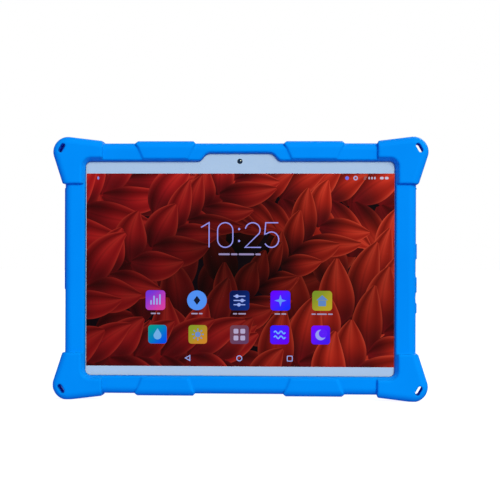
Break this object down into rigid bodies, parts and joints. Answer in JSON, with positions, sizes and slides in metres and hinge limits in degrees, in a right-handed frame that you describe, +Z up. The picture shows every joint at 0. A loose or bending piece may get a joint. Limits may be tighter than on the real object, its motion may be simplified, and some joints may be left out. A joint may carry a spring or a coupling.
{
  "type": "kids tablet in bumper case",
  "caption": "Ten-inch touch tablet with a lit screen in a blue silicone bumper case with rounded corner bumpers, lanyard slots, side keys, ports and a card tray.",
  "frame": {"origin": "centre of the object's footprint, on the plane of the lower bumpers' foot flats", "axes": "+X to the right seen from the screen, +Y towards the back, so the screen faces -Y, +Z up along the short side"},
  "size_m": [0.265, 0.019, 0.186],
  "materials": {
    "silicone": "satin moulded silicone",
    "housing_plastic": "fine texture",
    "frame_plastic": "gloss",
    "glass": "polished",
    "border_ink": "printed behind glass",
    "clear_film": "clear",
    "adhesive": "foam tape",
    "display": "lit display",
    "white_film": "diffusing",
    "tray_metal": "sheet",
    "flex_film": "polyimide",
    "led_plastic": "phosphor",
    "battery_foil": "pouch foil",
    "board": "solder mask",
    "lead_red": "satin",
    "lead_black": "satin",
    "chip_resin": "moulded",
    "tin_plate": "satin",
    "screw_steel": "zinc",
    "port_plastic": "moulded",
    "tray_plastic": "fine texture",
    "switch_metal": "satin",
    "camera_black": "moulded",
    "lens_glass": "coated",
    "speaker_black": "moulded",
    "mesh_cloth": "woven",
    "weight_metal": "sintered",
    "cradle_rubber": "satin",
    "key_plastic": "satin",
    "plunger_plastic": "moulded"
  },
  "bodies": {
    "tablet": {"backlight_leds": "led_plastic", "backlight_tray": "tray_metal", "battery_lead_black": "lead_black", "battery_lead_red": "lead_red", "battery_left": "battery_foil", "battery_protection_board": "board", "battery_right": "battery_foil", "battery_tape": "adhesive", "board_screws": "screw_steel", "camera_flex": "flex_film", "card_socket": "tin_plate", "cell_antenna": "flex_film", "cover_glass": "glass", "diffuser_film": "white_film", "display_flex": "flex_film", "front_camera": "camera_black", "front_camera_lens": "lens_glass", "front_frame": "frame_plastic", "glass_adhesive": "adhesive", "headphone_jack": "port_plastic", "housing_screws": "screw_steel", "key_board": "board", "key_switches": "switch_metal", "lcd_panel": "display", "led_strip": "flex_film", "light_guide": "white_film", "mainboard": "board", "memory_chips": "chip_resin", "microphone": "tin_plate", "motor_cradle": "cradle_rubber", "power_chip": "chip_resin", "printed_border": "border_ink", "processor_chip": "chip_resin", "rear_camera": "camera_black", "rear_camera_window": "lens_glass", "rear_housing": "housing_plastic", "reflector_film": "white_film", "shield_cans": "tin_plate", "silicone_case": "silicone", "speaker_left": "speaker_black", "speaker_meshes": "mesh_cloth", "speaker_right": "speaker_black", "touch_flex": "flex_film", "touch_sensor": "clear_film", "usb_port": "tin_plate", "usb_tongue": "port_plastic", "vibration_motor": "tin_plate", "wifi_antenna": "flex_film", "wireless_chip": "chip_resin"},
    "power_key": {"power_key": "key_plastic", "power_key_plunger": "plunger_plastic"},
    "volume_up_key": {"volume_up_key": "key_plastic", "volume_up_key_plunger": "plunger_plastic"},
    "volume_down_key": {"volume_down_key": "key_plastic", "volume_down_key_plunger": "plunger_plastic"},
    "card_tray": {"card_tray": "tray_plastic"},
    "vibration_weight": {"vibration_weight": "weight_metal"}
  },
  "joints": [
    {"name": "power_key_press", "type": "slide", "parent": "tablet", "child": "power_key", "axis": [-1, 0, 0], "range_m": [0, 0.00035], "stiffness_N_per_m": 600},
    {"name": "volume_up_key_press", "type": "slide", "parent": "tablet", "child": "volume_up_key", "axis": [-1, 0, 0], "range_m": [0, 0.00035], "stiffness_N_per_m": 600},
    {"name": "volume_down_key_press", "type": "slide", "parent": "tablet", "child": "volume_down_key", "axis": [-1, 0, 0], "range_m": [0, 0.00035], "stiffness_N_per_m": 600},
    {"name": "card_tray_slide", "type": "slide", "parent": "tablet", "child": "card_tray", "axis": [1, 0, 0], "range_m": [0, 0.022]},
    {"name": "vibration_weight_spin", "type": "hinge", "parent": "tablet", "child": "vibration_weight", "pos_m": [-0.1, 0.00085, 0.123], "axis": [0, 0, 1], "continuous": true}
  ]
}
